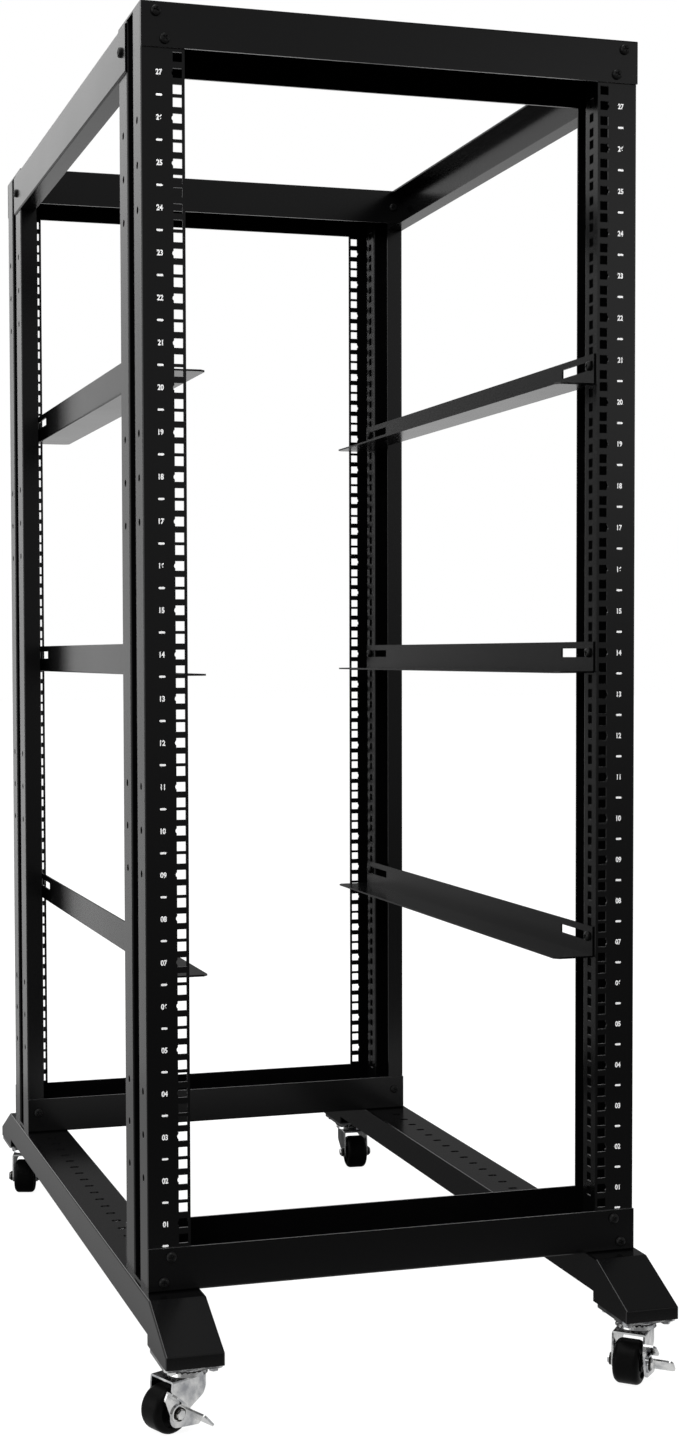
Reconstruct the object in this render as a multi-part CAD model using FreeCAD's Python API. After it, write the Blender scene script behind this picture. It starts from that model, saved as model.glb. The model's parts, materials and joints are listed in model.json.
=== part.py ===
import FreeCAD, Part
import math
import os

os.makedirs("parts", exist_ok=True)
V = FreeCAD.Vector

# Four post open frame rack on casters, in millimetres.
# X runs to the right, Y from the front to the rear, Z up from the floor.
# The origin is on the floor, in the middle of the frame.

# ---------------------------------------------------------------------------
# Driving dimensions
# ---------------------------------------------------------------------------

# Rack hole pattern, as on any 19 inch rack
rack_units = 27
unit_height = 44.45
hole_column_spacing = 465.1         # between the left and the right column of square holes
hole_heights = (6.35, 22.225, 38.1)  # the three holes of a unit, above the unit's lower edge
square_hole = 9.5
notch_radius = 3.0                  # rounded notch beside the middle hole of each unit
notch_depth = 1.3                   # how far the notch reaches past the square

# Frame
rack_opening = 450.0                # clear width between the left and the right posts
frame_width = 540.0                 # over the outer sides of the posts
mounting_depth = 813.0              # from the front rail faces to the rear rail faces
frame_sheet = 2.0                   # steel sheet of posts, beams and rails

# Post, a sheet folded five times; depths run inwards from its rail face
post_depth = 100.0
outer_strip = 35.0                  # side strip next to the rail face
groove_width = 27.0                 # groove between the two side strips
groove_depth = 27.0                 # from the outer side to the floor of the groove
back_flange = 21.5                  # flange on the far side from the rail face
side_hole_radius = 3.8
side_hole_units = (2, 3, 4, 9, 10, 11, 17, 18, 19, 24, 25, 26)

# Cross beams that cap the posts, channels that open towards the rack
beam_height = 45.0
beam_gap = 2.0                      # between a beam's edge and the first or the last unit

# Side beams at the top, channels that open inwards
side_beam_height = 50.0
side_beam_flange = 20.0
side_beam_drop = 4.0                # below the top of the frame
side_beam_clearance = 1.0           # flanges to the posts

# Base rails, inverted channels under the posts
base_rail_width = 60.0
base_rail_proud = 5.0               # outwards past the posts
base_rail_height = 36.0             # along the middle
base_rail_end_height = 47.0         # where the casters are fixed
base_rail_reach = 95.0              # past the rail faces of the frame
base_slope_start = 23.0             # past the rail faces of the frame
base_nose_height = 13.0             # upright edge at each end
caster_seat_length = 78.0           # closed underside at each end
slot_count = 18
slot_pitch = 31.2
slot_length = 11.0
slot_width = 7.0

# Support rails, angles between the front and the rear posts
support_levels = (("bottom", 7), ("middle", 14), ("top", 21))  # with the rack unit of each
support_plate_height = 34.0
support_plate_above = 12.0          # of the plate, above its screws
support_leg = 46.0
support_corner = 5.0                # cut corner at each end of the leg
support_slot_length = 78.0
support_slot_height = 9.5
support_slot_end = 3.0              # from the slot to the end of the plate

# Casters
caster_height = 69.0
caster_spread = 490.0               # between the left and the right swivel axes
caster_inset = 38.0                 # from the end of the base rail to the swivel axis
caster_trail = 26.0                 # from the swivel axis to the axle, measured level
wheel_radius = 23.0
wheel_width = 28.0
wheel_shoulder = 6.0                # rounding of the tread
wheel_dish = 2.5                    # depth of the recess in each side
wheel_rim = 7.0                     # tread thickness around the recess
hub_radius = 9.0
axle_radius = 4.0
axle_head_radius = 6.5
axle_head_height = 3.0
caster_plate_width = 60.0
caster_plate_length = 68.0
caster_plate_thickness = 3.5
caster_plate_corner = 6.0
upper_race_radius = 23.5
lower_race_radius = 21.5
race_height = 6.0                   # upper race, under the plate
race_slant = 2.0                    # how much each race narrows towards the other
king_pin_radius = 5.0
king_pin_head_radius = 8.0
king_pin_head_height = 3.0
fork_sheet = 2.0
fork_front = 14.0                   # from the swivel axis to the closed front
fork_back = 31.0                    # from the swivel axis to the trailing edge at the top
fork_front_height = 9.0             # upright part of the front
fork_front_round = 9.0              # where the side turns back to the axle
fork_slope_start = 7.0              # ahead of the swivel axis, under the rounded edge
fork_slope_level = 34.0
fork_boss_radius = 8.0
fork_corner = 6.0                   # upright corners of the front, outside
wheel_side_clearance = 1.5
wheel_top_clearance = 6.0
shaft_clearance = 0.08              # all round a shaft
face_clearance = 0.3                # between faces that turn on each other

# Brake levers of the front casters, measured from the axle: trailing is plus, up is plus
lever_sheet = 2.0
lever_crown_trail = 12.5            # upper rear corner
lever_crown_height = 24.0
lever_crown_drop = 8.0              # from the corner down to the bulge of the rear edge
lever_rear_bulge = 16.5
lever_waist = 10.5                  # rear edge beside the axle
lever_heel_drop = 13.0
lever_heel_round = 10.0
lever_toe_drop = 17.0
lever_knee_lead = 16.0              # where the tread leaves the plate
lever_knee_height = 0.5
lever_round = 4.0
lever_tread_slope = 46.5            # degrees below level
lever_tread_length = 18.0
lever_tread_width = 24.5            # outwards from the face next to the fork
lever_flange_length = 22.0          # along the upper edge, from the crown
lever_flange_width = 13.0
lever_rim_radius = 9.3              # raised rim around the axle head
lever_rim_bore = 7.6
lever_rim_height = 2.0

# Direction in which each caster trails, in degrees from +X towards +Y
trail_angle = {"front_left": 205.0, "front_right": 229.0, "rear_left": 254.0, "rear_right": 265.0}
braked_casters = ("front_left", "front_right")

# ---------------------------------------------------------------------------
# Levels and places worked out from them
# ---------------------------------------------------------------------------

rail_face = mounting_depth / 2      # half the depth, distance of each rail face from the middle
side_face = frame_width / 2
opening_side = rack_opening / 2
hole_column = hole_column_spacing / 2

base_top = caster_height + base_rail_end_height
first_unit = base_top + beam_height + beam_gap
last_unit_top = first_unit + rack_units * unit_height
frame_top = last_unit_top + beam_gap + beam_height
groove_floor = side_face - groove_depth
groove_end = outer_strip + groove_width
strip_middle = outer_strip / 2
groove_middle = outer_strip + groove_width / 2
inner_strip_middle = (groove_end + post_depth) / 2
strip_face = groove_floor - frame_sheet  # face of the holed strip that looks into the rack


def unit_middle(unit):
    return first_unit + (unit - 0.5) * unit_height


# ---------------------------------------------------------------------------
# Helpers
# ---------------------------------------------------------------------------

def folded_section(path, sheet):
    """Outline of a folded sheet: the path is one skin, and the sheet lies to its left.

    Each fold is sharp inside and rounded by one sheet thickness outside.
    """
    normals = []
    for (ax, ay), (bx, by) in zip(path, path[1:]):
        length = math.hypot(bx - ax, by - ay)
        normals.append(((ay - by) / length, (bx - ax) / length))
    skin, inside = [], []
    for i, (px, py) in enumerate(path):
        before = normals[max(i - 1, 0)]
        after = normals[min(i, len(normals) - 1)]
        share = sheet / (1 + before[0] * after[0] + before[1] * after[1])
        turn = before[0] * after[1] - before[1] * after[0]
        skin.append((px, py, sheet if turn > 0.01 else 0))
        inside.append((px + share * (before[0] + after[0]), py + share * (before[1] + after[1]),
                       sheet if turn < -0.01 else 0))
    return skin + inside[::-1]


def prism(points, place, direction):
    """Solid from an outline; place turns two numbers into a point in space.

    A point of the outline may have a third number, the radius that rounds its corner.
    """
    corners = [place(*point[:2]) for point in points]
    edges = []
    starts, ends = [], []
    for i, point in enumerate(points):
        corner = corners[i]
        radius = point[2] if len(point) > 2 else 0
        back = (corners[i - 1] - corner).normalize()
        ahead = (corners[(i + 1) % len(corners)] - corner).normalize()
        if radius:
            half = back.getAngle(ahead) / 2
            reach = radius / math.tan(half)
            starts.append(corner + back * reach)
            ends.append(corner + ahead * reach)
            middle = (back + ahead).normalize()
            top = corner + middle * (radius / math.sin(half) - radius)
            edges.append(Part.Arc(starts[-1], top, ends[-1]).toShape())
        else:
            starts.append(corner)
            ends.append(corner)
    for i in range(len(points)):
        start, end = ends[i], starts[(i + 1) % len(points)]
        if start.distanceToPoint(end) > 1e-6:
            edges.append(Part.makeLine(start, end))
    outline = Part.Wire(Part.__sortEdges__(edges))
    return Part.Face(outline).extrude(direction)


def block(low, high):
    return Part.makeBox(high[0] - low[0], high[1] - low[1], high[2] - low[2], V(*low))


def to_left(shape):
    return shape.mirror(V(0, 0, 0), V(1, 0, 0))


def to_rear(shape):
    return shape.mirror(V(0, 0, 0), V(0, 1, 0))


def save(name, shape):
    shape.exportStep("parts/" + name + ".step")


# ---------------------------------------------------------------------------
# Posts
# ---------------------------------------------------------------------------

def post_front_right():
    """Folded post with square holes in its rail face and in the floor of its groove."""
    skin = [
        (opening_side, 0), (side_face, 0), (side_face, outer_strip),
        (groove_floor, outer_strip), (groove_floor, groove_end),
        (side_face, groove_end), (side_face, post_depth), (side_face - back_flange, post_depth),
    ]
    foot = base_top + frame_sheet
    height = frame_top - frame_sheet - foot
    post = prism(folded_section(skin, frame_sheet),
                 lambda x, depth: V(x, depth - rail_face, foot), V(0, 0, height))
    half = square_hole / 2
    holes = []
    for unit in range(rack_units):
        for row in hole_heights:
            z = first_unit + unit * unit_height + row
            holes.append(block((hole_column - half, -rail_face - 1, z - half),
                               (hole_column + half, frame_sheet - rail_face + 1, z + half)))
            holes.append(block((strip_face - 1, groove_middle - rail_face - half, z - half),
                               (groove_floor + 1, groove_middle - rail_face + half, z + half)))
        notch = V(hole_column + half + notch_depth - notch_radius, -rail_face - 1,
                  unit_middle(unit + 1))
        holes.append(Part.makeCylinder(notch_radius, frame_sheet + 2, notch, V(0, 1, 0)))
    for unit in side_hole_units:
        for depth in (strip_middle, inner_strip_middle):
            start = V(side_face - frame_sheet - 1, depth - rail_face, unit_middle(unit))
            holes.append(Part.makeCylinder(side_hole_radius, frame_sheet + 2, start, V(1, 0, 0)))
    return post.cut(holes)


front_right_post = post_front_right()
save("post_front_right", front_right_post)
save("post_front_left", to_left(front_right_post))
save("post_rear_right", to_rear(front_right_post))
save("post_rear_left", to_left(to_rear(front_right_post)))

# ---------------------------------------------------------------------------
# Cross beams: channels as deep as the posts, with the posts inside their ends
# ---------------------------------------------------------------------------

near = -frame_sheet
far = post_depth + frame_sheet


def cross_beam(path):
    return prism(folded_section(path, frame_sheet),
                 lambda depth, z: V(-side_face, depth - rail_face, z), V(frame_width, 0, 0))


top_beam = cross_beam([(far, frame_top - beam_height), (far, frame_top),
                       (near, frame_top), (near, frame_top - beam_height)])
bottom_beam = cross_beam([(near, base_top + beam_height), (near, base_top),
                          (far, base_top), (far, base_top + beam_height)])
save("top_beam_front", top_beam)
save("top_beam_rear", to_rear(top_beam))
save("bottom_beam_front", bottom_beam)
save("bottom_beam_rear", to_rear(bottom_beam))

# ---------------------------------------------------------------------------
# Side beams: channels whose webs lap the inner side strips of the posts
# ---------------------------------------------------------------------------

def side_beam_right():
    top = frame_top - side_beam_drop
    bottom = top - side_beam_height
    web = side_face + frame_sheet
    tip = side_face - side_beam_flange
    half_length = rail_face - groove_end
    flange_end = rail_face - far - side_beam_clearance
    beam = prism(folded_section([(tip, bottom), (web, bottom), (web, top), (tip, top)], frame_sheet),
                 lambda x, z: V(x, -half_length, z), V(0, 2 * half_length, 0))
    for low, high in ((-half_length - 1, -flange_end), (flange_end, half_length + 1)):
        beam = beam.cut(block((tip - 1, low, bottom - 1), (side_face, high, top + 1)))
    return beam


right_side_beam = side_beam_right()
save("top_side_beam_right", right_side_beam)
save("top_side_beam_left", to_left(right_side_beam))

# ---------------------------------------------------------------------------
# Base rails: inverted channels with sloped ends and a closed seat for each caster
# ---------------------------------------------------------------------------

def base_rail_right():
    outer_x = side_face + base_rail_proud
    inner_x = outer_x - base_rail_width
    end = rail_face + base_rail_reach
    crest = rail_face + base_slope_start
    seat = end - caster_seat_length
    low = caster_height
    nose = low + base_nose_height
    skirt = base_top - base_rail_height
    skin = [(-end, low), (-seat, low), (-seat, skirt), (seat, skirt), (seat, low), (end, low),
            (end, nose), (crest, base_top), (-crest, base_top), (-end, nose)]
    body = prism(skin, lambda y, z: V(inner_x, y, z), V(base_rail_width, 0, 0))
    # every edge but those of the open underside
    folds = [e for e in body.Edges if e.BoundBox.ZMax > low + 1
             and (abs(e.CenterOfMass.y) > seat + 1 or e.BoundBox.ZMax > skirt + 1)]
    body = body.makeFillet(frame_sheet, folds)
    run, rise = end - crest, base_top - nose
    slant = math.hypot(run, rise)
    # the inner skin is one sheet inside the outer one
    nose_inside = nose - frame_sheet * (slant - rise) / run
    crest_inside = crest - frame_sheet * (slant - run) / rise
    inside = [(-end + frame_sheet, low + frame_sheet), (-seat, low + frame_sheet),
              (-seat, low - 1), (seat, low - 1), (seat, low + frame_sheet),
              (end - frame_sheet, low + frame_sheet), (end - frame_sheet, nose_inside),
              (crest_inside, base_top - frame_sheet), (-crest_inside, base_top - frame_sheet),
              (-end + frame_sheet, nose_inside)]
    body = body.cut(prism(inside, lambda y, z: V(inner_x + frame_sheet, y, z),
                          V(base_rail_width - 2 * frame_sheet, 0, 0)))
    middle_x = (inner_x + outer_x) / 2
    flat = slot_length - slot_width
    depth = frame_sheet + 2
    slots = []
    for i in range(slot_count):
        y = (i - (slot_count - 1) / 2) * slot_pitch
        z = base_top - frame_sheet - 1
        slots.append(block((middle_x - flat / 2, y - slot_width / 2, z),
                           (middle_x + flat / 2, y + slot_width / 2, z + depth)))
        for x in (middle_x - flat / 2, middle_x + flat / 2):
            slots.append(Part.makeCylinder(slot_width / 2, depth, V(x, y, z)))
    return body.cut(slots).removeSplitter()


right_base_rail = base_rail_right()
save("base_rail_right", right_base_rail)
save("base_rail_left", to_left(right_base_rail))

# ---------------------------------------------------------------------------
# Support rails: angles screwed to the holed strips of the posts
# ---------------------------------------------------------------------------

def support_rail_right(unit):
    screw = unit_middle(unit)
    top = screw + support_plate_above
    bottom = top - support_plate_height
    end = rail_face - outer_strip - frame_sheet
    tip = strip_face - support_leg
    rail = prism(folded_section([(tip, bottom), (strip_face, bottom), (strip_face, top)],
                                frame_sheet),
                 lambda x, z: V(x, -end, z), V(0, 2 * end, 0))
    cuts = []
    for toward in (-1, 1):
        corner = [(tip - 1, toward * (end + 1)), (tip + support_corner, toward * (end + 1)),
                  (tip + support_corner, toward * end), (tip, toward * (end - support_corner)),
                  (tip - 1, toward * (end - support_corner))]
        cuts.append(prism(corner, lambda x, y: V(x, y, bottom - 1), V(0, 0, frame_sheet + 2)))
        slot = sorted((toward * (end - support_slot_end),
                       toward * (end - support_slot_end - support_slot_length)))
        cuts.append(block((strip_face - frame_sheet - 1, slot[0], screw - support_slot_height / 2),
                          (strip_face + 1, slot[1], screw + support_slot_height / 2)))
    return rail.cut(cuts)


for level, unit in support_levels:
    rail = support_rail_right(unit)
    save("support_rail_right_" + level, rail)
    save("support_rail_left_" + level, to_left(rail))

# ---------------------------------------------------------------------------
# Casters, modelled trailing towards +X with the axle along Y, then turned
# ---------------------------------------------------------------------------

plate_under = caster_height - caster_plate_thickness
race_under = plate_under - race_height
fork_inside = wheel_width / 2 + wheel_side_clearance
fork_outside = fork_inside + fork_sheet
axle_height = wheel_radius
axle_at = V(caster_trail, 0, axle_height)
fork_under = 2 * wheel_radius + wheel_top_clearance
fork_top = fork_under + fork_sheet


def turned_ring(profile, centre, axis):
    """Solid of revolution; the profile is pairs of radius and distance along the axis."""
    across = V(1, 0, 0)
    points = [centre + across * r + axis * h for r, h in profile]
    face = Part.Face(Part.makePolygon(points + points[:1]))
    return face.revolve(centre, axis, 360)


def caster_plate():
    """Top plate with the upper race and the king pin, whose head holds the fork up."""
    x, y = caster_plate_width / 2, caster_plate_length / 2
    corners = [(-x, -y), (x, -y), (x, y), (-x, y)]
    plate = prism([corner + (caster_plate_corner,) for corner in corners],
                  lambda a, b: V(a, b, plate_under), V(0, 0, caster_plate_thickness))
    head_top = fork_under - face_clearance
    head_under = head_top - king_pin_head_height
    spindle = turned_ring([(0, head_under), (king_pin_head_radius, head_under),
                           (king_pin_head_radius, head_top), (king_pin_radius, head_top),
                           (king_pin_radius, race_under),
                           (upper_race_radius - race_slant, race_under),
                           (upper_race_radius, plate_under), (0, plate_under)],
                          V(0, 0, 0), V(0, 0, 1))
    return plate.fuse(spindle).removeSplitter()


def caster_fork():
    """Cup pressed from one sheet, open at the back, with the lower race on top."""
    bore = king_pin_radius + shaft_clearance
    plan = [(fork_back, -fork_outside), (fork_back, fork_outside),
            (-fork_front, fork_outside, fork_corner), (-fork_front, -fork_outside, fork_corner)]
    top = prism(plan, lambda x, y: V(x, y, fork_under), V(0, 0, fork_sheet))
    rounded = [e for e in top.Edges if e.CenterOfMass.z > fork_top - 0.001
               and e.CenterOfMass.x < fork_back - 0.001]
    top = top.makeFillet(0.9 * fork_sheet, rounded)
    behind = axle_at.x + 2 * fork_boss_radius
    inner = fork_corner - fork_sheet
    room = [(behind + 1, -fork_inside), (behind + 1, fork_inside),
            (fork_sheet - fork_front, fork_inside, inner),
            (fork_sheet - fork_front, -fork_inside, inner)]
    slope_end = (axle_at.x - 0.6 * fork_boss_radius, axle_at.z - 0.8 * fork_boss_radius)
    outline = [(-fork_front, fork_under), (fork_back, fork_under),
               (axle_at.x + fork_boss_radius, axle_at.z), slope_end,
               (-fork_slope_start, fork_slope_level, fork_front_round),
               (-fork_front, fork_top - fork_front_height, fork_sheet)]
    cup = prism(outline, lambda x, z: V(x, -fork_outside, z), V(0, 2 * fork_outside, 0))
    tall = V(0, 0, fork_under + 1)
    cup = cup.common(prism([(behind, -fork_outside), (behind, fork_outside)] + plan[2:],
                           lambda x, y: V(x, y, 0), tall))
    bosses = [Part.makeCylinder(fork_boss_radius, fork_sheet, V(axle_at.x, y, axle_at.z),
                                V(0, 1, 0)) for y in (-fork_outside, fork_inside)]
    cup = cup.cut(prism(room, lambda x, y: V(x, y, -1), tall + V(0, 0, 1)))
    race_top = race_under - face_clearance
    race = turned_ring([(bore, fork_under), (lower_race_radius, fork_top),
                        (lower_race_radius - race_slant, race_top), (bore, race_top)],
                       V(0, 0, 0), V(0, 0, 1))
    bore_cut = Part.makeCylinder(bore, race_top - fork_under + 2, V(0, 0, fork_under - 1))
    axle_cut = Part.makeCylinder(axle_radius + shaft_clearance / 2, 2 * fork_outside + 2,
                                 V(axle_at.x, -fork_outside - 1, axle_at.z), V(0, 1, 0))
    return cup.fuse([top, race] + bosses).cut([bore_cut, axle_cut]).removeSplitter()


def caster_axle(braked):
    """Bolt through the fork, with a round head at each end."""
    lever_room = lever_sheet + 2 * face_clearance if braked else 0
    start = -fork_outside
    end = fork_outside + lever_room
    profile = [(0, start - axle_head_height), (axle_head_radius, start - axle_head_height),
               (axle_head_radius, start), (axle_radius, start), (axle_radius, end),
               (axle_head_radius, end), (axle_head_radius, end + axle_head_height),
               (0, end + axle_head_height)]
    return turned_ring(profile, axle_at, V(0, 1, 0))


def caster_wheel():
    """Moulded wheel with a rounded tread and a dished side around the hub."""
    half = wheel_width / 2
    bore = axle_radius + shaft_clearance
    floor = half - wheel_dish
    rim = wheel_radius - wheel_rim
    profile = [(bore, -half), (hub_radius, -half), (hub_radius, -floor), (rim, -floor),
               (rim, -half), (wheel_radius, -half), (wheel_radius, half), (rim, half),
               (rim, floor), (hub_radius, floor), (hub_radius, half), (bore, half)]
    wheel = turned_ring(profile, axle_at, V(0, 1, 0))
    tread_edges = [e for e in wheel.Edges if hasattr(e.Curve, "Radius")
                   and abs(e.Curve.Radius - wheel_radius) < 0.001]
    return wheel.makeFillet(wheel_shoulder, tread_edges)


def brake_lever():
    """Stamped lever on the axle: a side plate, a stiffening flange and a foot tread."""
    near_face = fork_outside + face_clearance
    far_face = near_face + lever_sheet
    a, h = axle_at.x, axle_at.z
    crown = (a + lever_crown_trail, h + lever_crown_height)
    knee = (a - lever_knee_lead, h + lever_knee_height)
    slope = math.radians(lever_tread_slope)
    tip = (knee[0] - lever_tread_length * math.cos(slope),
           knee[1] - lever_tread_length * math.sin(slope))
    rise = math.atan2(crown[1] - knee[1], crown[0] - knee[0])
    root = (crown[0] - lever_flange_length * math.cos(rise),
            crown[1] - lever_flange_length * math.sin(rise))
    outline = [crown, (a + lever_rear_bulge, crown[1] - lever_crown_drop, lever_round),
               (a + lever_waist, h, lever_round),
               (a + lever_waist, h - lever_heel_drop, lever_heel_round),
               (tip[0], h - lever_toe_drop, lever_round), tip, knee]
    plate = prism(outline, lambda x, z: V(x, near_face, z), V(0, lever_sheet, 0))
    rim = turned_ring([(lever_rim_bore, near_face), (lever_rim_radius, near_face),
                       (lever_rim_radius, far_face + lever_rim_height),
                       (lever_rim_bore, far_face + lever_rim_height)],
                      axle_at, V(0, 1, 0))

    def strip(start, angle, length, width):
        """Sheet that stands out from the plate along its upper edge."""
        along = V(math.cos(angle), 0, math.sin(angle))
        low = V(start[0], near_face, start[1])
        across = V(along.z, 0, -along.x) * lever_sheet
        return prism([(0, 0), (length, 0), (length, width, lever_round), (0, width, lever_round)],
                     lambda t, y: low + along * t + V(0, y, 0), across)

    flange = strip(root, rise, lever_flange_length, lever_flange_width)
    tread = strip(tip, slope, lever_tread_length, lever_tread_width)
    bore = Part.makeCylinder(axle_radius + shaft_clearance, lever_sheet + 2,
                             V(a, near_face - 1, h), V(0, 1, 0))
    return plate.fuse([rim, flange, tread]).cut(bore).removeSplitter()


def place_caster(shape, corner, turns=True):
    """Move a caster piece to its corner, turned the way the caster trails."""
    side = -1 if corner.endswith("left") else 1
    end = -1 if corner.startswith("front") else 1
    placed = shape.copy()
    if turns:
        placed.rotate(V(0, 0, 0), V(0, 0, 1), trail_angle[corner])
    placed.translate(V(side * caster_spread / 2,
                       end * (rail_face + base_rail_reach - caster_inset), 0))
    return placed


for corner in trail_angle:
    braked = corner in braked_casters
    save("caster_plate_" + corner, place_caster(caster_plate(), corner, turns=False))
    save("caster_fork_" + corner, place_caster(caster_fork(), corner))
    save("caster_axle_" + corner, place_caster(caster_axle(braked), corner))
    save("caster_wheel_" + corner, place_caster(caster_wheel(), corner))
    if braked:
        save("brake_lever_" + corner, place_caster(brake_lever(), corner))
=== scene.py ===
import bpy, json
from mathutils import Matrix, Vector

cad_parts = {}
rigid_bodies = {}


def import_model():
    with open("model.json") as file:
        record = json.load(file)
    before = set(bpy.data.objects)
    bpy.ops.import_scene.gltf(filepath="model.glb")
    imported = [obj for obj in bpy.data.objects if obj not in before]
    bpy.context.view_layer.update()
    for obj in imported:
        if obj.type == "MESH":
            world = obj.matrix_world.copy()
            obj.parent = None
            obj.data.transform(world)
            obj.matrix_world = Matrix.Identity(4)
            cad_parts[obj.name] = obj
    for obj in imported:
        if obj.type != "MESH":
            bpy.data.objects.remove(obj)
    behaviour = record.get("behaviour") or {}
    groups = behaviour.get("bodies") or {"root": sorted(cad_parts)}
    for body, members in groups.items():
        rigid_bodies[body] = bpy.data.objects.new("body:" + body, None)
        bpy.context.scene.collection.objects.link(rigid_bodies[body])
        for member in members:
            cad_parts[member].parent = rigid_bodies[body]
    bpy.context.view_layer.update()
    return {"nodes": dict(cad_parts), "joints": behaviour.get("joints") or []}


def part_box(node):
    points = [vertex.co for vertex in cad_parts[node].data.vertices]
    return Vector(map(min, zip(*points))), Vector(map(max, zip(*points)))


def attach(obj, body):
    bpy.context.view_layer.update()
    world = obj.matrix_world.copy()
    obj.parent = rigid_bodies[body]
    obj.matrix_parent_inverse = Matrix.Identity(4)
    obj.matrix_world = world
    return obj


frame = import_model()
nodes = frame["nodes"]
corners = ("front_left", "front_right", "rear_left", "rear_right")

# ---------------------------------------------------------------- studio
# A pale floor in a white studio. The light comes mostly from behind and from the left,
# so the satin black sheet reads by the white it mirrors at a slant.

class Shade:
    """A socket in a node tree, so that shader maths reads as plain arithmetic."""

    def __init__(self, tree, socket=None):
        self.tree, self.socket = tree, socket

    def node(self, kind, settings=None, inputs=None, output=0):
        """Adds one node: first its settings, then a value or a link for each socket."""
        made = self.tree.nodes.new(kind)
        for name, value in (settings or {}).items():
            if name == "stops":
                while len(made.color_ramp.elements) < len(value):
                    made.color_ramp.elements.new(0.5)
                for element, (position, colour) in zip(made.color_ramp.elements, value):
                    element.position, element.color = position, colour
            else:
                setattr(made, name, value)
        for name, value in (inputs or {}).items():
            socket = made.inputs[name]
            if isinstance(value, Shade):
                self.tree.links.new(value.socket, socket)
            else:
                socket.default_value = value
        return Shade(self.tree, made.outputs[output]) if made.outputs else made

    def maths(self, operation, a, b=0.0):
        return self.node("ShaderNodeMath", {"operation": operation}, {0: a, 1: b})

    def __add__(self, other):
        return self.maths("ADD", self, other)

    def __sub__(self, other):
        return self.maths("SUBTRACT", self, other)

    def __mul__(self, other):
        return self.maths("MULTIPLY", self, other)

    def __rsub__(self, other):
        return self.maths("SUBTRACT", other, self)

    __radd__, __rmul__ = __add__, __mul__

    def rise(self, low, high):
        """A soft step from 0 at low to 1 at high."""
        return self.node("ShaderNodeMapRange", {"interpolation_type": "SMOOTHSTEP"},
                         {"Value": self, "From Min": low, "From Max": high})

    def out(self, name):
        """Another output of the node that this socket belongs to."""
        return Shade(self.tree, self.socket.node.outputs[name])


def finish(name, build):
    """A material whose nodes are made by build(shade), which returns its surface shader."""
    material = bpy.data.materials.new(name)
    material.use_nodes = True
    material.node_tree.nodes.clear()
    shade = Shade(material.node_tree)
    surface = build(shade)
    shade.node("ShaderNodeOutputMaterial", None, {"Surface": surface})
    return material


def backdrop_light(shade):
    """White to the eye. What the sheet mirrors is bright behind on the left, dim elsewhere."""
    direction = shade.node("ShaderNodeTexCoord", output=0)
    split = shade.node("ShaderNodeSeparateXYZ", None, {"Vector": direction})
    across, depth, height = split.out("X"), split.out("Y"), split.out("Z")
    left_wall = 0.03 + across.rise(-0.32, -0.25) * 0.38 + across.rise(-0.205, -0.15) * 0.62
    left_wall = across.rise(0.0, -0.11) * left_wall * (0.6 + height.rise(-0.25, -0.05) * 0.4)
    left_sky = across.rise(0.05, -0.1) * height.rise(0.12, 0.36) * 0.7
    right_low = across.rise(0.0, 0.15) * height.rise(0.06, -0.04)
    right_low = right_low * (0.35 + height.rise(-0.24, -0.13) * 0.3)
    behind = 0.13 + left_wall + left_sky + right_low
    right_box = across.rise(0.33, 0.42) * height.rise(0.02, 0.1) * height.rise(0.34, 0.2)
    front = 0.04 + height.rise(-0.26, 0.14) * 0.2 + right_box * 0.45
    left_box = across.rise(-0.75, -0.9) * height.rise(-0.2, 0.1)
    from_behind = depth.rise(-0.1, 0.4)
    sides = behind * from_behind + front * (1 - from_behind) + left_box * 1.5
    ceiling = 0.12 + across.rise(0.42, 0.2) * 0.13 + across.rise(0.1, -0.1) * height.rise(0.75, 0.9) * 2.5
    overhead = height.rise(0.4, 0.7)
    strength = sides * (1 - overhead) + overhead * ceiling
    seen = shade.node("ShaderNodeLightPath", output=0)
    mirrored = shade.node("ShaderNodeBackground", None, {"Color": (1, 1, 1, 1), "Strength": strength})
    plain = shade.node("ShaderNodeBackground", None, {"Color": (1, 1, 1, 1), "Strength": 1.0})
    return shade.node("ShaderNodeMixShader", None, {0: seen, 1: mirrored, 2: plain})


world = bpy.data.worlds.new("studio")
bpy.context.scene.world = world
world.use_nodes = True
world.node_tree.nodes.clear()
air = Shade(world.node_tree)
air.node("ShaderNodeOutputWorld", None, {"Surface": backdrop_light(air)})
bpy.context.scene.view_settings.view_transform = "Standard"


def pale_floor(shade):
    """Near white with a trace of contact shade; away from the rack it mirrors as the backdrop."""
    place = shade.node("ShaderNodeTexCoord", output=3)
    split = shade.node("ShaderNodeSeparateXYZ", None, {"Vector": place})
    across, depth = split.out("X"), split.out("Y")
    beside = across.rise(-0.25, -0.36) * depth.rise(-0.8, -0.2) * 0.28
    in_front = depth.rise(-0.7, -0.6) * depth.rise(-0.3, -0.42) * 0.6
    glow = 0.07 + beside + in_front
    near = across.rise(-1.6, -1.3) * across.rise(1.6, 1.3) * depth.rise(-1.6, -1.3) * depth.rise(1.3, 1.0)
    seen = shade.node("ShaderNodeLightPath", output=0)
    lit = shade.node("ShaderNodeEmission", None, {"Color": (1, 1, 1, 1), "Strength": glow})
    clear = shade.node("ShaderNodeBsdfTransparent")
    mirrored = shade.node("ShaderNodeMixShader", None, {0: near, 1: clear, 2: lit})
    plain = shade.node("ShaderNodeEmission", None, {"Color": (1, 1, 1, 1), "Strength": 0.94})
    matt = shade.node("ShaderNodeBsdfDiffuse", None, {"Color": (0.16, 0.16, 0.16, 1)})
    visible = shade.node("ShaderNodeAddShader", None, {0: plain, 1: matt})
    return shade.node("ShaderNodeMixShader", None, {0: seen, 1: mirrored, 2: visible})


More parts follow.
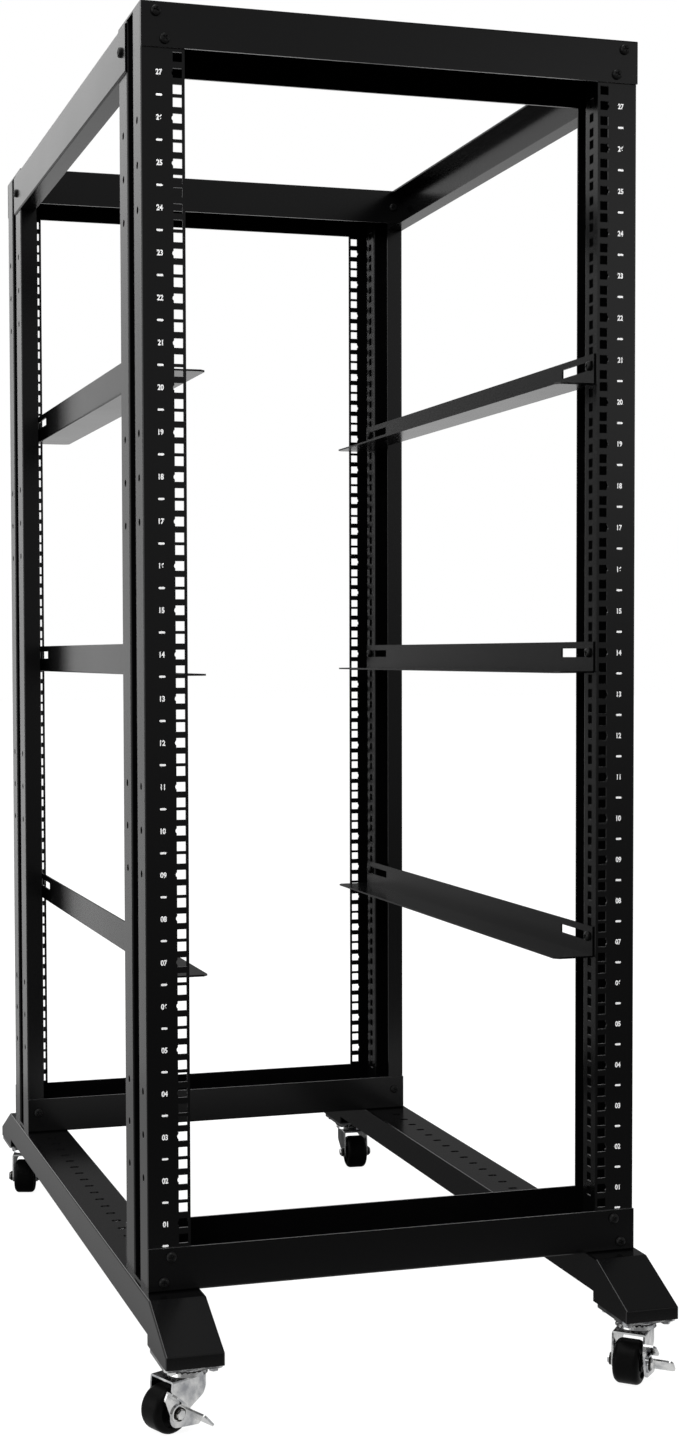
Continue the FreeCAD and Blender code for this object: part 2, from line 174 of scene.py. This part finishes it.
floor_half = 30.0
floor_mesh = bpy.data.meshes.new("floor")
floor_mesh.from_pydata([(-floor_half, -floor_half, 0), (floor_half, -floor_half, 0),
                        (floor_half, floor_half, 0), (-floor_half, floor_half, 0)],
                       [], [(0, 1, 2, 3)])
floor = bpy.data.objects.new("floor", floor_mesh)
bpy.context.collection.objects.link(floor)
floor_mesh.materials.append(finish("pale floor", pale_floor))

camera = bpy.data.objects.new("camera", bpy.data.cameras.new("camera"))
bpy.context.collection.objects.link(camera)
camera.data.sensor_width = 36.0
camera.data.lens = 50.338
camera.data.shift_x = 0.0741
camera.data.shift_y = 0.0109
camera.data.clip_start = 0.05
right = Vector((0.96323, -0.26865, -0.00438))
up = Vector((0.01485, 0.03698, 0.99921))
back = right.cross(up)
camera.matrix_world = Matrix.Translation((-0.7247, -2.3682, 0.7633)) @ Matrix(
    (right, up, back)).transposed().to_4x4()
bpy.context.scene.camera = camera


def soft_box(name, place, aim, width, height, power):
    """A large flat studio lamp."""
    lamp = bpy.data.objects.new(name, bpy.data.lights.new(name, "AREA"))
    lamp.data.shape = "RECTANGLE"
    lamp.data.size, lamp.data.size_y, lamp.data.energy = width, height, power
    lamp.matrix_world = Matrix.Translation(place) @ (Vector(aim) - Vector(place)).to_track_quat(
        "-Z", "Y").to_matrix().to_4x4()
    lamp.visible_glossy = False
    bpy.context.collection.objects.link(lamp)


soft_box("key lamp", (-1.8, -2.6, 2.8), (0, 0, 0.6), 1.6, 1.6, 110)
soft_box("fill lamp", (2.4, -1.6, 2.2), (0, 0, 0.5), 1.6, 1.6, 50)
soft_box("rear lamp", (0.5, 2.8, 2.4), (0, 0, 0.5), 1.6, 1.6, 35)

# ---------------------------------------------------------------- casters
# Swivel casters under the four ends of the base rails. Plates, forks and brake levers are
# pressed from steel sheet and bright zinc plated. The wheels are moulded in black plastic,
# and turn on axles of oiled steel.

race_gap_height = 0.0594


def bright_zinc(shade):
    """Zinc plate over pressed sheet: rippled and patchy, with painted shade darkening the fork top and
    the ball race gap under the plate.
    """
    place = shade.node("ShaderNodeTexCoord", output=3)
    ripple = shade.node("ShaderNodeTexNoise", None, {"Vector": place, "Scale": 110.0, "Detail": 2.0})
    patch = shade.node("ShaderNodeTexNoise", None, {"Vector": place, "Scale": 60.0, "Detail": 4.0})
    grain = shade.node("ShaderNodeTexNoise", None, {"Vector": place, "Scale": 1400.0, "Detail": 2.0})
    bump = shade.node("ShaderNodeBump", None,
                      {"Strength": 0.5, "Distance": 0.0006, "Height": ripple + grain * 0.04})
    tone = shade.node("ShaderNodeValToRGB", {"stops": [(0.35, (0.36, 0.37, 0.39, 1)),
                                                       (0.62, (0.84, 0.84, 0.83, 1))]}, {"Fac": patch})
    upward = shade.node("ShaderNodeSeparateXYZ", None,
                        {"Vector": shade.node("ShaderNodeNewGeometry", output=3)}, output=2)
    height = shade.node("ShaderNodeSeparateXYZ", None, {"Vector": place}, output=2)
    # painted shade: upward faces of the fork top and a band at the race gap turn nearly black, where the
    # plate shades them
    fork_top = upward.rise(0.8, 0.95) * height.rise(0.045, 0.05)
    race_gap = height.rise(race_gap_height - 0.0012, race_gap_height - 0.0006)
    race_gap = race_gap * height.rise(race_gap_height + 0.0012, race_gap_height + 0.0006)
    painted_shade = fork_top.maths("MAXIMUM", fork_top, race_gap) * (0.5 + patch * 0.9)
    tone = shade.node("ShaderNodeMix", {"data_type": "RGBA"},
                      {"Factor": painted_shade, 6: tone, 7: (0.012, 0.011, 0.010, 1)}, output=2)
    return shade.node("ShaderNodeBsdfPrincipled", None, {
        "Base Color": tone, "Metallic": 1.0,
        "Roughness": 0.05 + patch * 0.14 + grain * 0.05, "Normal": bump})


def oiled_steel(shade):
    """Bare axle steel, dark with oil."""
    place = shade.node("ShaderNodeTexCoord", output=3)
    film = shade.node("ShaderNodeTexNoise", None, {"Vector": place, "Scale": 220.0, "Detail": 3.0})
    return shade.node("ShaderNodeBsdfPrincipled", None, {
        "Base Color": (0.035, 0.033, 0.030, 1), "Metallic": 1.0, "Roughness": 0.2 + film * 0.2})


def black_wheel(shade):
    """Moulded plastic, smooth on the sides and lightly scuffed where it rolls."""
    place = shade.node("ShaderNodeTexCoord", output=3)
    scuff = shade.node("ShaderNodeTexNoise", None, {"Vector": place, "Scale": 260.0, "Detail": 5.0})
    bump = shade.node("ShaderNodeBump", None, {"Strength": 0.2, "Distance": 0.0003, "Height": scuff})
    return shade.node("ShaderNodeBsdfPrincipled", None, {
        "Base Color": (0.002, 0.002, 0.002, 1), "IOR": 1.13, "Roughness": 0.25 + scuff * 0.25,
        "Normal": bump})


zinc = finish("bright zinc", bright_zinc)
wheel_plastic = finish("black wheel moulding", black_wheel)
axle_steel = finish("oiled axle steel", oiled_steel)
for corner in corners:
    for part in ("caster_plate_", "caster_fork_"):
        nodes[part + corner].material_slots[0].material = zinc
    nodes["caster_axle_" + corner].material_slots[0].material = axle_steel
    nodes["caster_wheel_" + corner].material_slots[0].material = wheel_plastic
    if corner.startswith("front"):
        nodes["brake_lever_" + corner].material_slots[0].material = zinc

# ---------------------------------------------------------------- caster bolts, nuts and balls
# Four hexagon bolts go up through each caster plate, and a flat hexagon nut closes each end of
# the axle. Between the two pressed races runs a ring of hardened steel balls that carries the
# weight, and its lower half shows all round.

class Growth(Shade):
    """A geometry tree whose inputs are a piece's sizes and whose result is one plain mesh."""

    def __init__(self, name, sizes):
        tree = bpy.data.node_groups.new(name, "GeometryNodeTree")
        super().__init__(tree)
        tree.interface.new_socket("Places", in_out="INPUT", socket_type="NodeSocketGeometry")
        self.sizes = {}
        for size, value in sizes.items():
            kind = "NodeSocketInt" if isinstance(value, int) else "NodeSocketFloat"
            made = tree.interface.new_socket(size, in_out="INPUT", socket_type=kind)
            made.default_value = value
            self.sizes[size] = (made.identifier, value)
        made = tree.interface.new_socket("Finish", in_out="INPUT", socket_type="NodeSocketMaterial")
        self.finish_socket = made.identifier
        tree.interface.new_socket("Piece", in_out="OUTPUT", socket_type="NodeSocketGeometry")
        self.inputs = tree.nodes.new("NodeGroupInput")

    def size(self, name):
        return Shade(self.tree, self.inputs.outputs[name])

    def set_out(self, shape):
        """Puts the shape at every place, its Z along the place's own direction, and ends the tree."""
        facing = self.node("GeometryNodeInputNamedAttribute", {"data_type": "FLOAT_VECTOR"},
                           {"Name": "facing"})
        turn = self.node("FunctionNodeAlignRotationToVector", {"axis": "Z"}, {"Vector": facing})
        spin = self.node("FunctionNodeRotateRotation", {"rotation_space": "LOCAL"},
                         {"Rotation": turn, "Rotate By": self.node(
                             "FunctionNodeAxisAngleToRotation", None,
                             {"Axis": (0, 0, 1), "Angle": self.node(
                                 "GeometryNodeInputNamedAttribute", {"data_type": "FLOAT"},
                                 {"Name": "spin"})})})
        placed = self.node("GeometryNodeInstanceOnPoints", None,
                           {"Points": self.size("Places"), "Instance": shape, "Rotation": spin})
        whole = self.node("GeometryNodeRealizeInstances", None, {"Geometry": placed})
        done = self.node("GeometryNodeSetMaterial", None,
                         {"Geometry": whole, "Material": self.size("Finish")})
        self.node("NodeGroupOutput", None, {"Piece": done})
        return self

    def grow(self, name, places, material, body, slot):
        """Makes the piece at places, each a point, a direction and a spin in radians."""
        seeds = bpy.data.meshes.new(name + " places")
        seeds.from_pydata([place for place, facing, spin in places], [], [])
        seeds.attributes.new("facing", "FLOAT_VECTOR", "POINT")
        seeds.attributes.new("spin", "FLOAT", "POINT")
        seeds.attributes["facing"].data.foreach_set(
            "vector", [number for place, facing, spin in places for number in facing])
        seeds.attributes["spin"].data.foreach_set("value", [spin for place, facing, spin in places])
        piece = bpy.data.objects.new(name, seeds)
        bpy.context.collection.objects.link(piece)
        modifier = piece.modifiers.new("growth", "NODES")
        modifier.node_group = self.tree
        for identifier, value in self.sizes.values():
            modifier[identifier] = value
        modifier[self.finish_socket] = material
        grown = piece.evaluated_get(bpy.context.evaluated_depsgraph_get())
        mesh = bpy.data.meshes.new_from_object(grown)
        piece.modifiers.remove(modifier)
        piece.data = mesh
        mesh.name = name
        mesh.materials.clear()
        mesh.materials.append(material)
        mesh.polygons.foreach_set("material_index", [0] * len(mesh.polygons))
        bpy.data.meshes.remove(seeds)
        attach(piece, body)
        return piece


def hexagon_head(name, sizes):
    """Hexagon bolt head or nut with a washer under it, standing up from its seat."""
    tree = Growth(name, sizes)
    washer_thickness = tree.size("Washer Thickness")
    washer = tree.node("GeometryNodeMeshCylinder", {"fill_type": "NGON"},
                       {"Vertices": 20, "Radius": tree.size("Washer Radius"),
                        "Depth": washer_thickness})
    head = tree.node("GeometryNodeMeshCylinder", {"fill_type": "NGON"},
                     {"Vertices": 6, "Radius": tree.size("Across Corners") * 0.5,
                      "Depth": tree.size("Height")})
    crown = tree.node("GeometryNodeExtrudeMesh", {"mode": "FACES"},
                      {"Mesh": head, "Selection": head.out("Top"), "Offset Scale": 0.0004,
                       "Individual": False})
    crown = tree.node("GeometryNodeScaleElements", {"domain": "FACE"},
                      {"Geometry": crown, "Selection": crown.out("Top"), "Scale": 0.86})
    lifted = tree.node("GeometryNodeTransform", None, {"Geometry": crown, "Translation": tree.node(
        "ShaderNodeCombineXYZ", None, {"Z": tree.size("Height") * 0.5 + washer_thickness})})
    seated = tree.node("GeometryNodeTransform", None, {"Geometry": washer, "Translation": tree.node(
        "ShaderNodeCombineXYZ", None, {"Z": washer_thickness * 0.5})})
    joined = tree.node("GeometryNodeJoinGeometry")
    for part in (lifted, seated):
        tree.tree.links.new(part.socket, joined.socket.node.inputs[0])
    return tree.set_out(joined)


plate_bolts = hexagon_head("plate bolt", {"Across Corners": 0.0098, "Height": 0.0032,
                                          "Washer Radius": 0.0058, "Washer Thickness": 0.0008})
bolt_inset = 0.0085
plate_thickness = 0.0035
for corner in corners:
    low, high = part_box("caster_plate_" + corner)
    under = high[2] - plate_thickness
    places = []
    for x in (low[0] + bolt_inset, high[0] - bolt_inset):
        for y in (low[1] + bolt_inset, high[1] - bolt_inset):
            places.append(((x, y, under), (0, 0, -1), 0.4 + 31 * x + 17 * y))
    plate_bolts.grow("plate_bolts_" + corner, places, zinc, "frame", "zinc_plate")


axle_nuts = hexagon_head("axle nut", {"Across Corners": 0.0104, "Height": 0.0016,
                                      "Washer Radius": 0.0050, "Washer Thickness": 0.0003})
for joint in frame["joints"]:
    if not joint["name"].startswith("wheel_spin_"):
        continue
    body = joint["parent"]
    axle = nodes[body.replace("swivel_", "caster_axle_")]
    middle, axis = Vector(joint["pos_m"]), Vector(joint["axis"])
    reach = [(vertex.co - middle).dot(axis) for vertex in axle.data.vertices]
    places = [(middle + axis * end, axis * (1 if end > 0 else -1), 0.35 + middle.x * 9)
              for end in (min(reach), max(reach))]
    axle_nuts.grow("axle_nuts_" + body, places, zinc, body, "zinc_plate")


def ball_ring():
    """Bearing balls evenly round a ring."""
    tree = Growth("ball ring", {"Balls": 22, "Ring Radius": 0.0206, "Ball Radius": 0.0022})
    ring = tree.node("GeometryNodeMeshCircle", None,
                     {"Vertices": tree.size("Balls"), "Radius": tree.size("Ring Radius")})
    ball = tree.node("GeometryNodeMeshUVSphere", None,
                     {"Segments": 12, "Rings": 8, "Radius": tree.size("Ball Radius")})
    balls = tree.node("GeometryNodeInstanceOnPoints", None, {"Points": ring, "Instance": ball})
    return tree.set_out(balls)


balls = ball_ring()
for corner in corners:
    low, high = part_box("caster_plate_" + corner)
    middle = ((low[0] + high[0]) / 2, (low[1] + high[1]) / 2, race_gap_height)
    balls.grow("race_balls_" + corner, [(middle, (0, 0, 1), 0.0)], zinc, "frame", "zinc_plate")

# ---------------------------------------------------------------- sheet steel frame
# Posts, beams, base rails and support rails are punched and folded from 2 mm steel sheet and
# baked in a satin black powder coat, which keeps a faint orange peel.

def powder_coat(highlighted=None):
    """Satin black, with a painted highlight of light grey metal on the faces that the given mask picks
    out from height and level.
    """
    def build(shade):
        place = shade.node("ShaderNodeTexCoord", output=3)
        cloud = shade.node("ShaderNodeTexNoise", None, {"Vector": place, "Scale": 6.0, "Detail": 3.0})
        peel = shade.node("ShaderNodeTexNoise", None, {"Vector": place, "Scale": 700.0, "Detail": 2.0})
        bump = shade.node("ShaderNodeBump", None,
                          {"Strength": 0.06, "Distance": 0.0003, "Height": peel})
        if not highlighted:
            return shade.node("ShaderNodeBsdfPrincipled", None, {
                "Base Color": (0.0013, 0.0013, 0.0014, 1), "IOR": 1.5,
                "Roughness": 0.18 + cloud * 0.06, "Normal": bump})
        # level is 1 where the sheet faces straight up or down, and 0 where it stands upright
        facing = shade.node("ShaderNodeSeparateXYZ", None,
                            {"Vector": shade.node("ShaderNodeNewGeometry", output=3)}, output=2)
        level = facing.maths("ABSOLUTE", facing).rise(0.9, 0.98)
        height = shade.node("ShaderNodeSeparateXYZ", None, {"Vector": place}, output=2)
        painted_highlight = highlighted(height, level)
        # painted highlight: masked faces turn light grey and metallic, so they show as bright lines
        tone = shade.node("ShaderNodeMix", {"data_type": "RGBA"}, {
            "Factor": painted_highlight, 6: (0.0013, 0.0013, 0.0014, 1), 7: (0.62, 0.62, 0.62, 1)}, output=2)
        return shade.node("ShaderNodeBsdfPrincipled", None, {
            "Base Color": tone, "Metallic": painted_highlight, "IOR": 1.5,
            "Roughness": 0.18 + cloud * 0.06 + painted_highlight * 0.2, "Normal": bump})
    return build


def cut_edge_highlight(edge_height):
    """Painted highlight along the long cut edge of a beam, which lies level at edge_height."""
    return lambda height, level: level * height.rise(edge_height - 0.001, edge_height - 0.0005) * (
        height.rise(edge_height + 0.001, edge_height + 0.0005))


top_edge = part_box("top_beam_front")[0][2]
bottom_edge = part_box("bottom_beam_front")[1][2]
plain_coat = finish("satin black powder coat", powder_coat())
# on the posts every level face, the hole edges and the ends, gets a faint painted highlight
punched_coat = finish("satin black, holes rubbed", powder_coat(lambda height, level: level * 0.3))
top_beam_coat = finish("satin black, lower edge rubbed", powder_coat(cut_edge_highlight(top_edge)))
bottom_beam_coat = finish("satin black, upper edge rubbed", powder_coat(cut_edge_highlight(bottom_edge)))
for name, node in nodes.items():
    if name.startswith("post_"):
        node.material_slots[0].material = punched_coat
    elif name.startswith("top_beam_"):
        node.material_slots[0].material = top_beam_coat
    elif name.startswith("bottom_beam_"):
        node.material_slots[0].material = bottom_beam_coat
    elif not name.startswith(("caster_", "brake_")):
        node.material_slots[0].material = plain_coat

# ---------------------------------------------------------------- frame screws
# Black pan head screws with a cross recess hold the beams to the posts, and the support
# rails to the holed strips of the posts. Each draws down flat on the sheet.

def black_screw(shade):
    """Black oxide steel, a little glossier than the powder coat."""
    place = shade.node("ShaderNodeTexCoord", output=3)
    wear = shade.node("ShaderNodeTexNoise", None, {"Vector": place, "Scale": 500.0, "Detail": 3.0})
    return shade.node("ShaderNodeBsdfPrincipled", None, {
        "Base Color": (0.012, 0.012, 0.012, 1), "Metallic": 0.6, "Roughness": 0.22 + wear * 0.2})


def pan_head_screw():
    """Round head with a rounded edge and a cross recess, standing up from its seat."""
    tree = Growth("pan head screw", {"Head Radius": 0.0053, "Head Height": 0.0034,
                                     "Recess Length": 0.0058, "Recess Width": 0.0014})
    height = tree.size("Head Height")
    shape = tree.node("GeometryNodeMeshCylinder", {"fill_type": "NGON"},
                      {"Vertices": 28, "Radius": tree.size("Head Radius"), "Depth": height * 0.45})
    top = shape.out("Top")
    shape = tree.node("GeometryNodeTransform", None, {"Geometry": shape, "Translation": tree.node(
        "ShaderNodeCombineXYZ", None, {"Z": height * 0.225})})
    for rise, narrowing in ((0.25, 0.94), (0.18, 0.88), (0.12, 0.74)):
        shape = tree.node("GeometryNodeExtrudeMesh", {"mode": "FACES"},
                          {"Mesh": shape, "Selection": top, "Offset Scale": height * rise,
                           "Individual": False})
        top = shape.out("Top")
        shape = tree.node("GeometryNodeScaleElements", {"domain": "FACE"},
                          {"Geometry": shape, "Selection": top, "Scale": narrowing})
    cut = tree.node("GeometryNodeMeshBoolean", {"operation": "DIFFERENCE", "solver": "EXACT"},
                    {"Mesh 1": shape})
    for turned in (False, True):
        length, width = tree.size("Recess Length"), tree.size("Recess Width")
        bar = tree.node("ShaderNodeCombineXYZ", None, {
            "X": width if turned else length, "Y": length if turned else width, "Z": height})
        cutter = tree.node("GeometryNodeTransform", None, {
            "Geometry": tree.node("GeometryNodeMeshCube", None, {"Size": bar}),
            "Translation": tree.node("ShaderNodeCombineXYZ", None, {"Z": height * 1.05})})
        tree.tree.links.new(cutter.socket, cut.socket.node.inputs["Mesh 2"])
    return tree.set_out(cut)


oxide = finish("black oxide screws", black_screw)
pan_heads = pan_head_screw()
sheet = 0.002
frame_low, frame_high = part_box("top_beam_front")
outer_face, inner_face = -frame_low[1], -frame_high[1]
base_low, base_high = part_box("bottom_beam_front")
beam_rows = ((frame_high[2] - 0.0100, 0.2547), (frame_high[2] - 0.0366, 0.2458),
             (base_low[2] + 0.0360, 0.2460), (base_low[2] + 0.0100, 0.2540))
wall_rows = (frame_high[2] - 0.0232, base_low[2] + 0.0270)
wall_screw_x = 0.2560
places = []
for side in (-1, 1):
    for end in (-1, 1):
        for row, (z, x) in enumerate(beam_rows):
            places.append(((side * x, end * outer_face, z), (0, end, 0), 0.7 + row * 1.1 + side))
        for row, z in enumerate(wall_rows):
            places.append(((side * wall_screw_x, end * inner_face, z), (0, -end, 0), 0.3 + row))
pan_heads.grow("beam_screws", places, oxide, "frame", "rack_paint")

side_screw_depth = 0.0810
places = []
for side, name in ((-1, "top_side_beam_left"), (1, "top_side_beam_right")):
    low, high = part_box(name)
    for end in (-1, 1):
        face = low[0] if side < 0 else high[0]
        places.append(((face, end * (outer_face - sheet - side_screw_depth), (low[2] + high[2]) / 2),
                       (side, 0, 0), 0.5 + side * end))
pan_heads.grow("side_beam_screws", places, oxide, "frame", "rack_paint")

support_screw_depth = 0.0485
support_screw_drop = 0.012
places = []
for side in ("left", "right"):
    for level in ("bottom", "middle", "top"):
        low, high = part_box("support_rail_" + side + "_" + level)
        face = high[0] - sheet if side == "right" else low[0] + sheet
        for end in (-1, 1):
            places.append(((face, end * (outer_face - sheet - support_screw_depth),
                            high[2] - support_screw_drop),
                           (-1 if side == "right" else 1, 0, 0), 0.9 * end + high[2] * 7))
pan_heads.grow("support_rail_screws", places, oxide, "frame", "rack_paint")

# ---------------------------------------------------------------- unit numbers and dashes
# Each rack unit has its number printed in white beside the square holes, and a short dash
# marks every joint between two units, on the rail faces of all four posts.

def white_print(shade):
    """Screen printed ink, opaque, with a slightly uneven edge of wear."""
    place = shade.node("ShaderNodeTexCoord", output=3)
    speck = shade.node("ShaderNodeTexNoise", None, {"Vector": place, "Scale": 1800.0, "Detail": 3.0})
    tone = shade.node("ShaderNodeValToRGB", {"stops": [(0.3, (0.62, 0.62, 0.62, 1)),
                                                       (0.5, (0.86, 0.86, 0.86, 1))]}, {"Fac": speck})
    return shade.node("ShaderNodeBsdfPrincipled", None, {"Base Color": tone, "Roughness": 0.5})


def dash_print():
    """A dash with rounded ends, lying flat."""
    tree = Growth("dash", {"Length": 0.0066, "Width": 0.0022})
    frame_curve = tree.node("GeometryNodeCurvePrimitiveQuadrilateral", {"mode": "RECTANGLE"},
                            {"Width": tree.size("Length"), "Height": tree.size("Width")})
    rounded = tree.node("GeometryNodeFilletCurve", {"mode": "POLY"},
                        {"Curve": frame_curve, "Radius": tree.size("Width") * 0.49, "Count": 5})
    return tree.set_out(tree.node("GeometryNodeFillCurve", {"mode": "NGONS"}, {"Curve": rounded}))


ink = finish("white print", white_print)
rail_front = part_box("post_front_left")[0][1]
rack_units = 27
unit_height = 0.04445
first_unit = base_high[2] + sheet
print_x = 0.2515
print_lift = 0.00012
places = []
for side in (-1, 1):
    for end in (-1, 1):
        for unit in range(rack_units):
            places.append(((side * print_x, end * (print_lift - rail_front), first_unit
                            + unit * unit_height), (0, end, 0), 0.0))
dash_print().grow("unit_dashes", places, ink, "frame", "rack_paint")

number_height = 0.0058
number_width = 0.0067
shapes = []
for unit in range(1, rack_units + 1):
    text = bpy.data.objects.new("number", bpy.data.curves.new("number", "FONT"))
    text.data.body = f"{unit:02d}"
    text.data.align_x, text.data.align_y = "CENTER", "CENTER"
    text.data.offset = 0.035
    bpy.context.collection.objects.link(text)
    flat = bpy.data.meshes.new_from_object(
        text.evaluated_get(bpy.context.evaluated_depsgraph_get()))
    xs = [v.co.x for v in flat.vertices]
    ys = [v.co.y for v in flat.vertices]
    shapes.append(([(v.co.x, v.co.y) for v in flat.vertices],
                   [tuple(face.vertices) for face in flat.polygons],
                   (min(xs), max(xs), min(ys), max(ys))))
    bpy.data.objects.remove(text)
widest = max(x_high - x_low for outline, fills, (x_low, x_high, y_low, y_high) in shapes)
for side, side_name in ((-1, "left"), (1, "right")):
    for end, end_name in ((-1, "front"), (1, "rear")):
        points, faces = [], []
        for unit, (outline, fills, (x_low, x_high, y_low, y_high)) in enumerate(shapes):
            start = len(points)
            middle = first_unit + (unit + 0.5) * unit_height
            for x, y in outline:
                x = (x - (x_low + x_high) / 2) * number_width / widest
                y = (y - (y_low + y_high) / 2) * number_height / (y_high - y_low)
                points.append((side * print_x - end * x, end * (print_lift - rail_front), middle + y))
            faces += [tuple(start + i for i in fill) for fill in fills]
        mesh = bpy.data.meshes.new("unit_numbers_" + end_name + "_" + side_name)
        mesh.from_pydata(points, [], faces)
        mesh.materials.append(ink)
        numbers = bpy.data.objects.new(mesh.name, mesh)
        bpy.context.collection.objects.link(numbers)
        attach(numbers, "frame")
